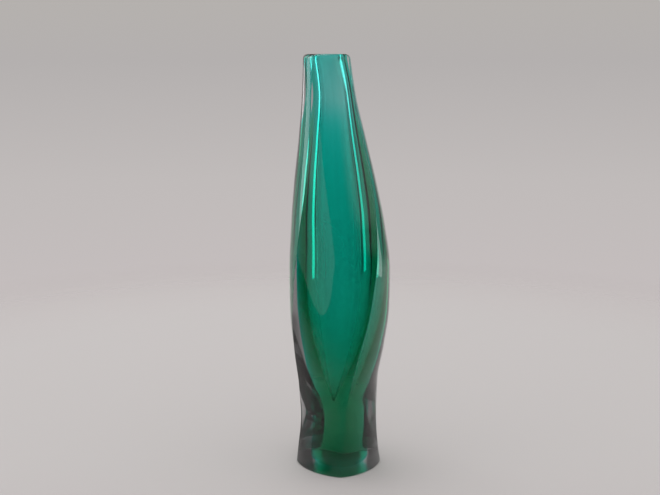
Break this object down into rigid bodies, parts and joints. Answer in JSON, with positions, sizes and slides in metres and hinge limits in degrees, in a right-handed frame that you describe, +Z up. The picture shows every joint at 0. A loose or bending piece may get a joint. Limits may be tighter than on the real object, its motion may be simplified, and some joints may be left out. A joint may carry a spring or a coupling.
{
  "type": "vase",
  "caption": "Tall cased glass vase: a green inner vessel sealed in thick smoky glass whose four sides wind from a sharp-cornered foot to a slim, rounded rim.",
  "frame": {"origin": "centre of the ground foot, on the surface that the vase stands on", "axes": "+Z up to the mouth; one corner of the foot points to -Y, within a degree, and the sides wind from there towards +X as they rise"},
  "size_m": [0.0727, 0.0728, 0.3],
  "materials": {
    "smoke_glass": "polished smoke-grey glass",
    "green_glass": "polished deep green glass"
  },
  "bodies": {
    "root": {"smoke_casing": "smoke_glass", "green_vessel": "green_glass"}
  },
  "joints": []
}
